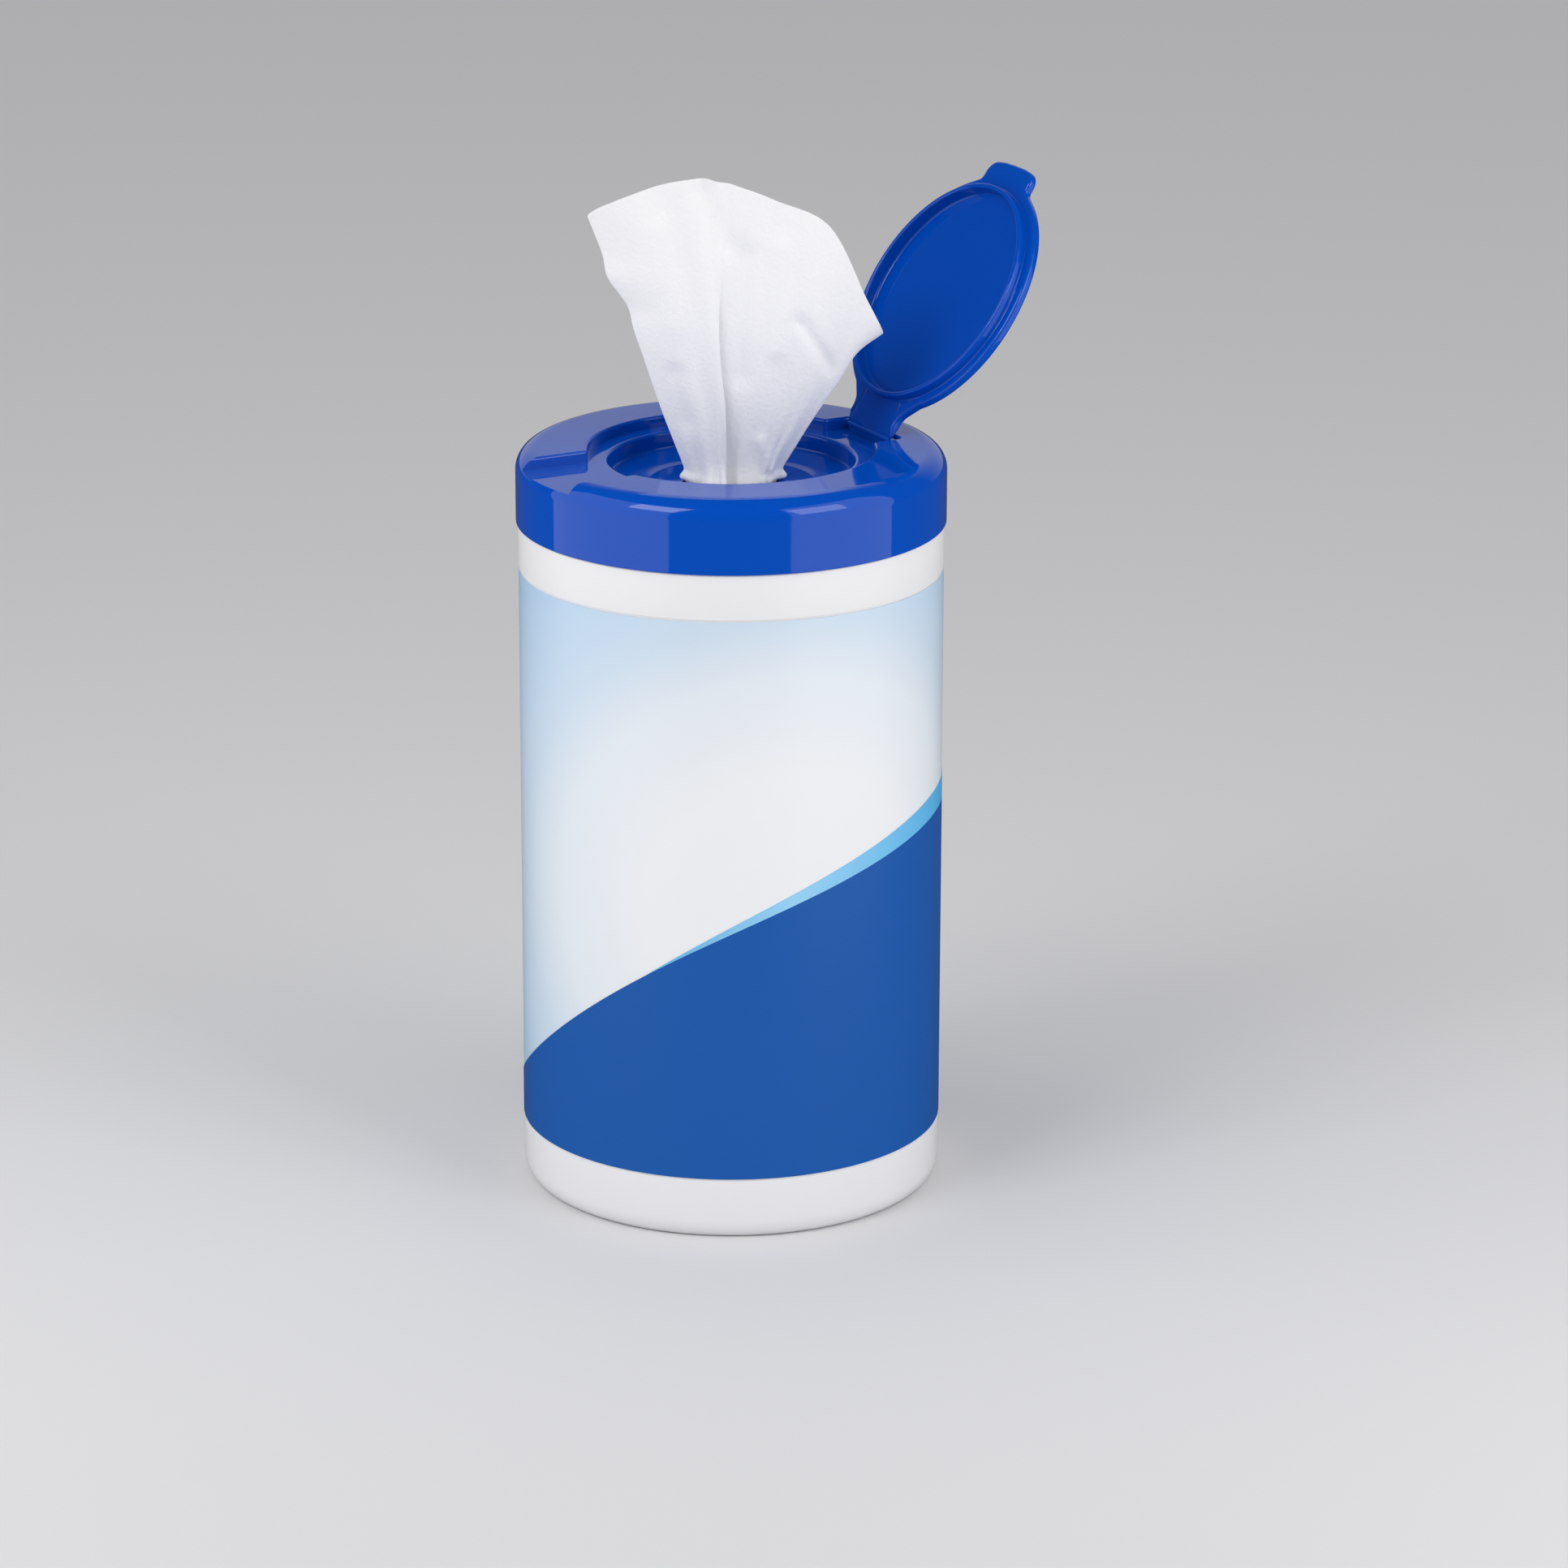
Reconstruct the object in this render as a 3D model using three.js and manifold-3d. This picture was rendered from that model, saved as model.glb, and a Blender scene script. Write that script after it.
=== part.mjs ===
// A canister of pull-out surface cleaning wipes: a white bottle with a wrapped label, a coreless
// roll of wipes inside, a press-on cap with a flip lid, and one wipe pulled up through the cap.
// Millimetres, +Z up. The origin is the centre of the flat base. +X points from the canister's
// axis to the hinge of the flip lid, and the cap is symmetric about the XZ plane.
import * as THREE from "three";
import { mergeVertices } from "three/addons/utils/BufferGeometryUtils.js";
import Module from "manifold-3d";

const wasm = await Module();
wasm.setup();

// Smoothness of round surfaces
const AROUND = 60;
const ROLL_AROUND = 36;
const ARC_STEPS = 4;
const FINE = 0.01;

// Bottle
const bodyRadius = 52;
const bodyWall = 1.3;
const floorThickness = 1.4;
const floorFillet = 2;
const heelReach = 3;
const heelHeight = 5;
const headroom = 15;
const neckWall = 1.2;
const neckHeight = 13.3;
const neckBeadRise = 0.5;
const neckBeadZ = 5.6;
const neckBeadHeight = 1.8;
const neckRampHeight = 2;

// Label, a film in a shallow panel of the bottle, with two printed areas
const labelBottom = 15.7;
const labelToSeat = 11.7;
const labelThickness = 0.2;
const glueLine = 0.05;
const panelMargin = 0.5;
const inkGap = 0.02;
const inkThickness = 0.1;

// Printed wave: its height above the label's lower edge round the bottle
const artTurn = THREE.MathUtils.degToRad(28);
const waveMean = 46.9;
const waveRise = 39.4;
const waveLead = THREE.MathUtils.degToRad(22.5);
const waveRipple = 5.8;
const waveRippleLead = THREE.MathUtils.degToRad(169);
const waveLowest = 0.6;
const stripeStart = THREE.MathUtils.degToRad(-24);
const stripeSpan = THREE.MathUtils.degToRad(276);
const stripeWidth = 6.5;
const stripeTip = 0.4;

// Cap
const capOverhang = 0.55;
const capWall = 1.4;
const capHeight = 17.95;
const shoulderRound = 5.1;
const neckClearance = 1.15;
const capBeadRise = 0.4;
const capBeadZ = 2.6;
const capBeadHeight = 1;
const sealRingWall = 1.3;
const sealRingDepth = 6.4;
const sealClearance = 0.3;
const recessRadius = 35;
const recessDepth = 2.8;
const ledgeWidth = 4.1;
const wellRound = 0.9;
const wellWallDepth = 4.4;
const dishRadius = 20;
const dishDepth = 1.5;
const holeRadius = 11.5;
const holeRound = 0.6;
const tabNotchHalfWidth = 12.6;
const pocketHalfWidth = 12.3;

// Flip lid and its hinge
const hingeSetback = 3.35;
const hingeDrop = 0.85;
const hingeStep = 0.1;
const hingeLandLength = 2.3;
const hingeGap = 0.5;
const hingeWebHalf = 0.2;
const lidOpenAngle = THREE.MathUtils.degToRad(124);
const lidGap = 3;
const lidThickness = 2.2;
const lidTopRise = 0.7;
const lidPanelThickness = 1.2;
const lidEdgeRound = 0.7;
const plugClearance = 0.6;
const plugWall = 1.3;
const plugDepth = 2.4;
const neckHalfWidth = 10.6;
const neckFlareHalfWidth = 15;
const neckTaper = 2.6;
const tabHalfWidth = 10.3;
const tabFlareHalfWidth = 14.5;
const tabReach = 4.3;
const tabCorner = 4.5;
const tabCrown = 0.8;

// Roll of wipes, and the wipe pulled up from its centre
const rollWidth = 152;
const rollClearance = 2.7;
const coreRadius = 14;
const rollTurnGrooves = 6;
const rollGrooveDepth = 0.8;
const wipeThickness = 0.8;
const wipeTurn = -artTurn;
const tailDepth = 74;
const tailShrink = 0.55;
const tailTwist = THREE.MathUtils.degToRad(70);
const wipeAcross = 30;
const wipeUp = 16;
const tailSteps = 4;

// Levels and radii that follow from the sizes above
const seatZ = floorThickness + rollWidth + headroom;
const labelTop = seatZ - labelToSeat;
const rollRadius = bodyRadius - bodyWall - rollClearance;
const capRadius = bodyRadius + capOverhang;
const capInner = capRadius - capWall;
const neckRadius = capInner - neckClearance;
const neckTopZ = seatZ + neckHeight;
const panelRadius = bodyRadius - labelThickness - glueLine;
const deckZ = seatZ + capHeight;
const ledgeZ = deckZ - recessDepth;
const wellRimRadius = recessRadius - ledgeWidth;
const wellRadius = wellRimRadius - wellRound;
const wellFootZ = ledgeZ - wellWallDepth;
const plateZ = wellFootZ - dishDepth;
const hingeX = recessRadius + hingeSetback;
const hingeZ = deckZ - hingeDrop;
const pocketEndX = hingeX + hingeLandLength;
const lidRadius = recessRadius - lidGap;
const lidInnerZ = lidTopRise - lidThickness;

// Points of an elliptical arc from one angle to another, in a profile's own plane
function arcPoints(x, y, rx, ry, from, to, steps = ARC_STEPS) {
  const points = [];
  for (let i = 0; i <= steps; i++) {
    const a = from + ((to - from) * i) / steps;
    points.push([x + rx * Math.cos(a), y + ry * Math.sin(a)]);
  }
  return points;
}

// A solid of revolution about Z from a closed or axis-to-axis outline of [radius, height] points
function turned(profile, around = AROUND) {
  const points = profile.map(([r, z]) => new THREE.Vector2(r, z));
  return new THREE.LatheGeometry(points, around).rotateX(Math.PI / 2);
}

// A manifold-3d solid from a closed geometry, and the way back
function solidOf(geometry) {
  const bare = geometry.clone();
  bare.deleteAttribute("normal");
  bare.deleteAttribute("uv");
  const merged = mergeVertices(bare, FINE / 10);
  const vertProperties = merged.attributes.position.array;
  const triVerts = new Uint32Array(merged.index.array);
  return new wasm.Manifold(new wasm.Mesh({ numProp: 3, vertProperties, triVerts }));
}

function geometryOf(solid) {
  const mesh = solid.getMesh();
  const geometry = new THREE.BufferGeometry();
  geometry.setAttribute("position", new THREE.BufferAttribute(mesh.vertProperties, 3));
  geometry.setIndex(new THREE.BufferAttribute(mesh.triVerts, 1));
  geometry.computeVertexNormals();
  return geometry;
}

// A box solid between two corners
function block([x0, y0, z0], [x1, y1, z1]) {
  const box = new THREE.BoxGeometry(x1 - x0, y1 - y0, z1 - z0);
  return solidOf(box.translate((x0 + x1) / 2, (y0 + y1) / 2, (z0 + z1) / 2));
}

function part(name, geometry, color, roughness, metalness = 0) {
  const material = new THREE.MeshStandardMaterial({ color, roughness, metalness });
  const mesh = new THREE.Mesh(geometry, material);
  mesh.name = name;
  return mesh;
}

// The bottle: one hollow blow-moulded wall with a rounded heel, a sunk label panel, a seat for the
// cap's skirt and an open neck with a snap bead
function canisterBody() {
  const inner = bodyRadius - bodyWall;
  const neckInner = neckRadius - neckWall;
  const beadZ = seatZ + neckBeadZ;
  const heel = arcPoints(bodyRadius - heelReach, heelHeight, heelReach, heelHeight, -Math.PI / 2, 0);
  const fillet = [inner - floorFillet, floorThickness + floorFillet, floorFillet, floorFillet];
  const profile = [
    [0, 0],
    ...heel,
    [bodyRadius, labelBottom - panelMargin],
    [panelRadius, labelBottom - panelMargin],
    [panelRadius, labelTop + panelMargin],
    [bodyRadius, labelTop + panelMargin],
    [bodyRadius, seatZ],
    [neckRadius, seatZ],
    [neckRadius, beadZ],
    [neckRadius + neckBeadRise, beadZ + neckBeadHeight / 3],
    [neckRadius + neckBeadRise, beadZ + (2 * neckBeadHeight) / 3],
    [neckRadius, beadZ + neckBeadHeight],
    [neckRadius, neckTopZ],
    [neckInner, neckTopZ],
    [neckInner, seatZ - floorThickness],
    [inner, seatZ - floorThickness - neckRampHeight],
    ...arcPoints(...fillet, 0, -Math.PI / 2, 3),
    [0, floorThickness],
  ];
  return part("canister_body", turned(profile), 0xebebed, 0.45);
}

// The label film, wrapped once round the panel
function labelFilm() {
  const inside = panelRadius + glueLine;
  const profile = [
    [inside, labelBottom],
    [bodyRadius, labelBottom],
    [bodyRadius, labelTop],
    [inside, labelTop],
    [inside, labelBottom],
  ];
  return part("label", turned(profile), 0xe4ebf3, 0.35);
}

// Height of the printed wave at an angle round the bottle, counted from the front of the label
function waveHeight(angle) {
  const main = waveRise * Math.sin(angle + waveLead);
  const ripple = waveRipple * Math.sin(2 * angle + waveRippleLead);
  return labelBottom + Math.max(waveLowest, waveMean + main + ripple);
}

// Width of the light stripe, from nothing at one tip to its widest and back
function stripeHeight(angle) {
  const share = (angle - stripeStart) / stripeSpan;
  return Math.max(stripeTip, stripeWidth * Math.sin(Math.PI * share));
}

// A thin printed area on the label between two heights, over some of the turn's facets
function printedBand(first, last, low, high) {
  const inside = bodyRadius + inkGap;
  const outside = inside + inkThickness;
  const whole = last - first === AROUND;
  const stations = whole ? AROUND : last - first + 1;
  const positions = [];
  for (let i = 0; i < stations; i++) {
    const turn = (2 * Math.PI * (first + i)) / AROUND;
    const angle = turn + artTurn;
    const corners = [
      [inside, low(angle)],
      [outside, low(angle)],
      [outside, high(angle)],
      [inside, high(angle)],
    ];
    for (const [r, z] of corners) {
      positions.push(r * Math.sin(turn), -r * Math.cos(turn), z);
    }
  }
  const index = [];
  for (let i = 0; i < (whole ? stations : stations - 1); i++) {
    const here = 4 * i;
    const next = 4 * ((i + 1) % stations);
    for (let k = 0; k < 4; k++) {
      const a = here + k;
      const b = here + ((k + 1) % 4);
      const c = next + ((k + 1) % 4);
      const d = next + k;
      index.push(a, d, c, a, c, b);
    }
  }
  if (!whole) {
    const end = 4 * (stations - 1);
    index.push(0, 1, 2, 0, 2, 3);
    index.push(end, end + 2, end + 1, end, end + 3, end + 2);
  }
  const geometry = new THREE.BufferGeometry();
  geometry.setAttribute("position", new THREE.Float32BufferAttribute(positions, 3));
  geometry.setIndex(index);
  geometry.computeVertexNormals();
  return geometry;
}

function darkPrint() {
  const foot = () => labelBottom;
  return part("label_dark_print", printedBand(0, AROUND, foot, waveHeight), 0x1257a3, 0.35);
}

function lightPrint() {
  const facet = (2 * Math.PI) / AROUND;
  const first = Math.ceil((stripeStart - artTurn) / facet);
  const last = Math.floor((stripeStart + stripeSpan - artTurn) / facet);
  const low = (angle) => waveHeight(angle) + inkGap;
  const high = (angle) => waveHeight(angle) + inkGap + stripeHeight(angle);
  return part("label_light_print", printedBand(first, last, low, high), 0x64c0f0, 0.35);
}

// The cap's outside from the skirt's foot to the edge of the lid recess
function capOutside() {
  const knee = deckZ - shoulderRound;
  return [
    [capRadius, seatZ],
    ...arcPoints(capRadius - shoulderRound, knee, shoulderRound, shoulderRound, 0, Math.PI / 2, 6),
  ];
}

// The cap: skirt with a snap bead, deck with a round recess for the lid, a well with a dished floor
// and the dispensing hole, a finger notch, a pocket for the lid's neck, and the hinge's land
function cap() {
  const knee = deckZ - shoulderRound;
  const centre = capRadius - shoulderRound;
  const innerRound = shoulderRound - capWall;
  const underDeckZ = deckZ - capWall;
  const underLedgeZ = ledgeZ - capWall;
  const underPlateZ = plateZ - capWall;
  const sealOuter = neckRadius - neckWall - sealClearance;
  const sealInner = sealOuter - sealRingWall;
  const sealFootZ = underDeckZ - sealRingDepth;
  const sealAngle = Math.acos(Math.min(1, Math.max(0, (sealOuter - centre) / innerRound)));
  const beadZ = seatZ + capBeadZ;
  const profile = [
    ...capOutside(),
    [recessRadius, deckZ],
    [recessRadius, ledgeZ],
    ...arcPoints(wellRimRadius, ledgeZ - wellRound, wellRound, wellRound, Math.PI / 2, Math.PI, 3),
    [wellRadius, wellFootZ],
    [dishRadius, plateZ],
    [holeRadius + holeRound, plateZ],
    [holeRadius, plateZ - holeRound],
    [holeRadius, underPlateZ],
    [dishRadius, underPlateZ],
    [wellRadius + capWall, wellFootZ - capWall / 2],
    [wellRadius + capWall, underLedgeZ],
    [recessRadius + capWall, underLedgeZ],
    [recessRadius + capWall, underDeckZ],
    [sealInner, underDeckZ],
    [sealInner, sealFootZ],
    [sealOuter, sealFootZ],
    ...arcPoints(centre, knee, innerRound, innerRound, sealAngle, 0, 3),
    [capInner, beadZ + capBeadHeight + capBeadRise],
    [capInner - capBeadRise, beadZ + capBeadHeight],
    [capInner - capBeadRise, beadZ],
    [capInner, beadZ - capBeadRise],
    [capInner, seatZ],
    [capRadius, seatZ],
  ];
  const envelope = turned([[0, seatZ], ...capOutside(), [0, deckZ]]);
  const notchTray = block(
    [-capRadius, -tabNotchHalfWidth - capWall, underLedgeZ],
    [-wellRimRadius - capWall, tabNotchHalfWidth + capWall, deckZ - FINE],
  );
  const pocketTray = block(
    [wellRimRadius + capWall, -pocketHalfWidth - capWall, underLedgeZ],
    [pocketEndX + capWall, pocketHalfWidth + capWall, deckZ - FINE],
  );
  const notch = block(
    [-capRadius - capWall, -tabNotchHalfWidth, ledgeZ],
    [-wellRimRadius, tabNotchHalfWidth, deckZ + capWall],
  );
  const pocket = block(
    [wellRimRadius, -pocketHalfWidth, ledgeZ],
    [pocketEndX, pocketHalfWidth, deckZ + capWall],
  );
  const recess = solidOf(
    turned([[0, ledgeZ], [recessRadius, ledgeZ], [recessRadius, deckZ + capWall], [0, deckZ + capWall]]),
  );
  const land = block(
    [hingeX + hingeStep, -neckHalfWidth, ledgeZ - capWall / 2],
    [pocketEndX + capWall / 2, neckHalfWidth, hingeZ + hingeStep],
  );
  const trays = notchTray.add(pocketTray).intersect(solidOf(envelope));
  const solid = solidOf(turned(profile)).add(trays).subtract(recess).subtract(notch).subtract(pocket);
  return part("cap", geometryOf(solid.add(land)), 0x0047b3, 0.12);
}

// A flat plate from an outline of the lid, as thick as the lid, in the hinge's frame
function lidPlate(shape) {
  const plate = new THREE.ExtrudeGeometry(shape, {
    depth: lidThickness,
    bevelEnabled: false,
    curveSegments: 6,
  });
  return solidOf(plate.translate(0, 0, lidInnerZ));
}

// Outline of the neck between the lid's disc and the hinge
function neckShape() {
  const inside = lidRadius - lidEdgeRound;
  const spread = Math.asin(neckFlareHalfWidth / lidRadius);
  const rimX = -hingeX + lidRadius * Math.cos(spread);
  const waistX = rimX / 2;
  const shape = new THREE.Shape();
  shape.moveTo(-hingeGap, -neckHalfWidth);
  shape.lineTo(-hingeGap, neckHalfWidth);
  shape.lineTo(waistX, neckHalfWidth);
  shape.quadraticCurveTo((waistX + rimX) / 2, neckHalfWidth, rimX, neckFlareHalfWidth);
  shape.absarc(-hingeX, 0, inside, spread, -spread, true);
  shape.lineTo(rimX, -neckFlareHalfWidth);
  shape.quadraticCurveTo((waistX + rimX) / 2, -neckHalfWidth, waistX, -neckHalfWidth);
  return shape;
}

// Side view of the neck: it thins to the hinge web from above and from below
function neckSide() {
  const shape = new THREE.Shape();
  const deep = -hingeX;
  shape.moveTo(-hingeGap, -hingeWebHalf);
  shape.lineTo(-hingeGap, hingeWebHalf);
  shape.lineTo(-neckTaper, lidTopRise);
  shape.lineTo(deep, lidTopRise);
  shape.lineTo(deep, lidInnerZ);
  shape.lineTo(-neckTaper - hingeGap, lidInnerZ);
  const width = 4 * neckFlareHalfWidth;
  const side = new THREE.ExtrudeGeometry(shape, { depth: width, bevelEnabled: false });
  return solidOf(side.rotateX(Math.PI / 2).translate(0, width / 2, 0));
}

// Outline of the thumb tab beyond the disc's far edge
function tabShape() {
  const inside = lidRadius - lidEdgeRound;
  const spread = Math.asin(tabFlareHalfWidth / lidRadius);
  const waistSpread = Math.asin(tabHalfWidth / lidRadius);
  const rimX = -hingeX - lidRadius * Math.cos(spread);
  const tipX = -hingeX - lidRadius - tabReach;
  const waistX = -hingeX - lidRadius * Math.cos(waistSpread) - lidEdgeRound;
  const shape = new THREE.Shape();
  shape.moveTo(rimX, -tabFlareHalfWidth);
  shape.quadraticCurveTo(waistX, -tabHalfWidth - lidEdgeRound, waistX - lidEdgeRound, -tabHalfWidth);
  shape.lineTo(tipX + tabCorner, -tabHalfWidth);
  shape.quadraticCurveTo(tipX + tabCrown, -tabHalfWidth, tipX + tabCrown, -tabHalfWidth + tabCorner);
  shape.quadraticCurveTo(tipX - tabCrown, 0, tipX + tabCrown, tabHalfWidth - tabCorner);
  shape.quadraticCurveTo(tipX + tabCrown, tabHalfWidth, tipX + tabCorner, tabHalfWidth);
  shape.lineTo(waistX - lidEdgeRound, tabHalfWidth);
  shape.quadraticCurveTo(waistX, tabHalfWidth + lidEdgeRound, rimX, tabFlareHalfWidth);
  shape.absarc(-hingeX, 0, inside, Math.PI - spread, Math.PI + spread, false);
  return shape;
}

// The flip lid, in the hinge's frame with the closed lid along -X: a disc with a round edge, a
// thinner panel inside the plug ring that enters the well, a neck to the hinge and a thumb tab
function flipLid() {
  const plugOuter = wellRadius - plugClearance;
  const plugInner = plugOuter - plugWall;
  const panelZ = lidTopRise - lidPanelThickness;
  const crestZ = lidInnerZ - plugDepth;
  const easing = plugWall / 4;
  const edge = lidRadius - lidEdgeRound;
  const profile = [
    [0, panelZ],
    [plugInner, panelZ],
    [plugInner, crestZ + easing],
    [plugInner + easing, crestZ],
    [plugOuter - easing, crestZ],
    [plugOuter, crestZ + easing],
    [plugOuter, lidInnerZ],
    ...arcPoints(edge, lidInnerZ + lidEdgeRound, lidEdgeRound, lidEdgeRound, -Math.PI / 2, 0, 3),
    ...arcPoints(edge, lidTopRise - lidEdgeRound, lidEdgeRound, lidEdgeRound, 0, Math.PI / 2, 3),
    [0, lidTopRise],
  ];
  const disc = solidOf(turned(profile).translate(-hingeX, 0, 0));
  const neck = lidPlate(neckShape()).intersect(neckSide());
  const solid = disc.add(neck).add(lidPlate(tabShape()));
  return part("flip_lid", geometryOf(solid), 0x0045a8, 0.15);
}

// The roll of wipes: one solid with an open centre, its turns showing as rings on its top
function wipeRoll() {
  const topZ = floorThickness + rollWidth;
  const pitch = (rollRadius - coreRadius) / rollTurnGrooves;
  const rings = [];
  for (let i = 0; i < rollTurnGrooves; i++) {
    const r = rollRadius - i * pitch;
    rings.push([r, topZ - rollGrooveDepth], [r - pitch / 4, topZ], [r - (3 * pitch) / 4, topZ]);
  }
  const profile = [
    [coreRadius, floorThickness],
    [rollRadius, floorThickness],
    ...rings,
    [coreRadius, topZ - rollGrooveDepth],
    [coreRadius, floorThickness],
  ];
  return part("wipe_roll", turned(profile, ROLL_AROUND), 0xf0f0f0, 0.95);
}

// Columns of the pulled wipe from its back left edge, round its left fold, over the front crease and
// round its right fold to its back right edge. Each lists [x, y, height above the hole's plate] from
// the hole's throat to the free edge: x to the viewer's right, y away from the viewer.
const wipeColumns = [
  [[2.5, 1, -2], [2.6, 1.4, 3], [1, 4.5, 17], [-4, 7.5, 33], [-8.5, 10, 47], [-12, 12, 58]],
  [[-4, 1.2, -2], [-4.2, 1.8, 3], [-8, 5.5, 17], [-13.5, 8, 34], [-19.5, 9.8, 49], [-24, 11, 61]],
  [[-9.4, 0.6, -2], [-11, 0.8, 3], [-17, 2.2, 18.5], [-23.3, 4, 36.5], [-29.5, 5, 52], [-34.7, 5, 64.8]],
  [[-6.6, -2.6, -2], [-7, -2.8, 3], [-10.5, -2.6, 19], [-14, -1.6, 37], [-17, 0, 56], [-20, 1, 72.2]],
  [[-2.6, -4.6, -2], [-3.2, -5, 3], [-4.4, -6.4, 19], [-6.4, -6.2, 37], [-7.4, -3.6, 57], [-8, -1.6, 75]],
  [[-0.2, -4.8, -2], [-1.6, -5.4, 3], [-1.8, -7.2, 19], [-3.2, -7, 36.5], [-3, -4.2, 57], [-2.8, -2, 74.6]],
  [[-2.4, -2, -2], [-3.2, -2.4, 3], [-4, -3.2, 19], [-4.6, -3.8, 36.5], [-1, -2.6, 57], [0.6, -1.6, 73.6]],
  [[2, -2.4, -2], [1.8, -3, 3], [3.2, -4.2, 19], [5, -4, 36], [8, -2.2, 55], [10.6, -1, 69.8]],
  [[6.4, -2.2, -2], [6.6, -2.6, 3], [11, -3, 19], [15.6, -2.8, 35.5], [20.6, -1.4, 52], [23.6, -0.4, 63.4]],
  [[8.6, -0.8, -2], [9.6, -1, 3], [17.4, -0.6, 17.5], [23.6, 0, 29], [28.6, 0.8, 39], [32.6, 1.6, 45.4]],
  [[9.6, 1.8, -2], [12, 1.8, 3], [18.2, 2.8, 12.6], [24.8, 4, 22.8], [29.8, 5, 31], [36.4, 6, 35.8]],
  [[5, 3.6, -2], [5.2, 4.4, 3], [11, 8, 14], [17.5, 10.5, 25.5], [23.5, 12.4, 36], [29, 13.6, 42]],
  [[-2.4, 3.4, -2], [-2.2, 4.6, 3], [3, 9.4, 16], [8, 12.8, 29], [13.5, 15, 41], [18, 16.4, 48]],
];

// The middle surface of the pulled wipe, at a share across it and a share up its visible length
const wipeRows = wipeColumns.map(
  (column) => new THREE.CatmullRomCurve3(column.map(([x, y, z]) => new THREE.Vector3(x, y, plateZ + z))),
);

function wipePoint(across, up) {
  const row = new THREE.CatmullRomCurve3(wipeRows.map((column) => column.getPoint(up)));
  return row.getPoint(across);
}

// The same surface below the hole, where the wipe is gathered into a rope that hangs in the core
function tailPoint(across, down) {
  const throat = wipePoint(across, 0);
  const ease = Math.min(1, down * 3);
  const size = 1 - (1 - tailShrink) * ease * (2 - ease);
  const turn = tailTwist * down;
  const x = size * (throat.x * Math.cos(turn) - throat.y * Math.sin(turn));
  const y = size * (throat.x * Math.sin(turn) + throat.y * Math.cos(turn));
  return new THREE.Vector3(x, y, throat.z - tailDepth * down);
}

// The pulled wipe: a thin closed sheet either side of that surface
function pulledWipe() {
  const rows = [];
  for (let j = tailSteps; j > 0; j--) {
    rows.push((across) => tailPoint(across, j / tailSteps));
  }
  for (let j = 0; j <= wipeUp; j++) {
    rows.push((across) => wipePoint(across, j / wipeUp));
  }
  const grid = rows.map((row) => {
    const points = [];
    for (let i = 0; i <= wipeAcross; i++) {
      points.push(row(i / wipeAcross));
    }
    return points;
  });
  const wide = wipeAcross + 1;
  const tall = grid.length;
  const at = (i, j) => grid[Math.min(tall - 1, Math.max(0, j))][Math.min(wide - 1, Math.max(0, i))];
  const positions = [];
  for (const side of [-1, 1]) {
    for (let j = 0; j < tall; j++) {
      for (let i = 0; i < wide; i++) {
        const alongRow = at(i + 1, j).clone().sub(at(i - 1, j));
        const upColumn = at(i, j + 1).clone().sub(at(i, j - 1));
        const normal = alongRow.cross(upColumn).normalize();
        const point = grid[j][i].clone().addScaledVector(normal, (side * wipeThickness) / 2);
        positions.push(point.x, point.y, point.z);
      }
    }
  }
  const index = [];
  const quad = (a, b, c, d) => index.push(a, b, c, a, c, d);
  const layer = wide * tall;
  for (let j = 0; j < tall - 1; j++) {
    for (let i = 0; i < wide - 1; i++) {
      const a = j * wide + i;
      quad(a, a + wide, a + wide + 1, a + 1);
      quad(layer + a, layer + a + 1, layer + a + wide + 1, layer + a + wide);
    }
  }
  for (let i = 0; i < wide - 1; i++) {
    const top = (tall - 1) * wide + i;
    quad(i, i + 1, layer + i + 1, layer + i);
    quad(top, layer + top, layer + top + 1, top + 1);
  }
  for (let j = 0; j < tall - 1; j++) {
    const left = j * wide;
    const right = left + wide - 1;
    quad(left, layer + left, layer + left + wide, left + wide);
    quad(right, right + wide, layer + right + wide, layer + right);
  }
  const geometry = new THREE.BufferGeometry();
  geometry.setAttribute("position", new THREE.Float32BufferAttribute(positions, 3));
  geometry.setIndex(index);
  geometry.computeVertexNormals();
  return part("pulled_wipe", geometry, 0xefeff1, 0.95);
}

const canister = new THREE.Group();
canister.add(canisterBody(), labelFilm(), darkPrint(), lightPrint(), wipeRoll(), cap());

const lidFrame = new THREE.Group();
lidFrame.position.set(hingeX, 0, hingeZ);
lidFrame.rotation.y = lidOpenAngle;
lidFrame.add(flipLid());
canister.add(lidFrame);

const wipeFrame = new THREE.Group();
wipeFrame.rotation.z = wipeTurn;
wipeFrame.add(pulledWipe());
canister.add(wipeFrame);

export default canister;
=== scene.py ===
"""A canister of pull-out surface cleaning wipes: bottle, wrapped label, press-on cap with an open
flip lid, the roll inside and the wipe drawn up through the cap. Sizes are in millimetres in the
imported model's frame: +Z up from the middle of the base, +X towards the lid's hinge."""
import math

import bpy
import numpy as np
from mathutils import Matrix, Vector


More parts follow.
